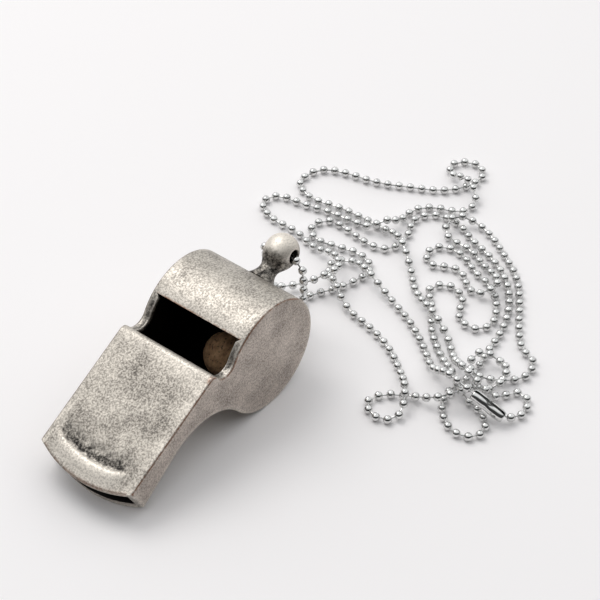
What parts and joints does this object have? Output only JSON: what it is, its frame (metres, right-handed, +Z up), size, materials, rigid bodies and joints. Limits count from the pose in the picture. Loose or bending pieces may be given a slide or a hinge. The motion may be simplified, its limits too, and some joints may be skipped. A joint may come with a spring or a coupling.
{
  "type": "sports whistle",
  "caption": "Sheet-metal pea whistle with a rounded barrel, open sound window, curved mouthpiece, cork pea and a pierced lanyard knob on a ball chain with its connector.",
  "frame": {"origin": "on the table under the middle of the whistle's own box, without the chain", "axes": "+X from the mouthpiece to the lanyard knob, +Y to the left cheek, +Z up, with the whistle lying on its barrel and the lower edge of its tip"},
  "size_m": [0.111, 0.0709, 0.0215],
  "materials": {
    "body_metal": "antique silver plate, mottled and lightly scratched",
    "cork": "matt",
    "chain_metal": "polished"
  },
  "bodies": {
    "whistle": {"left_cheek": "body_metal", "right_cheek": "body_metal", "drum_band": "body_metal", "mouthpiece_top": "body_metal", "windway_floor": "body_metal", "lanyard_knob": "body_metal", "chain_long_beads": "chain_metal", "chain_long_pins": "chain_metal", "chain_short_beads": "chain_metal", "chain_short_pins": "chain_metal"},
    "pea": {"cork_pea": "cork"},
    "connector": {"chain_connector": "chain_metal"}
  },
  "joints": [
    {"name": "pea_roll", "type": "hinge", "parent": "whistle", "child": "pea", "pos_m": [0.00957, 0, 0.01075], "axis": [0, 1, 0], "continuous": true},
    {"name": "connector_spin", "type": "hinge", "parent": "whistle", "child": "connector", "pos_m": [0.02897, -0.0376, 0.0044], "axis": [0.1153, -0.9077, -0.4035], "continuous": true}
  ]
}
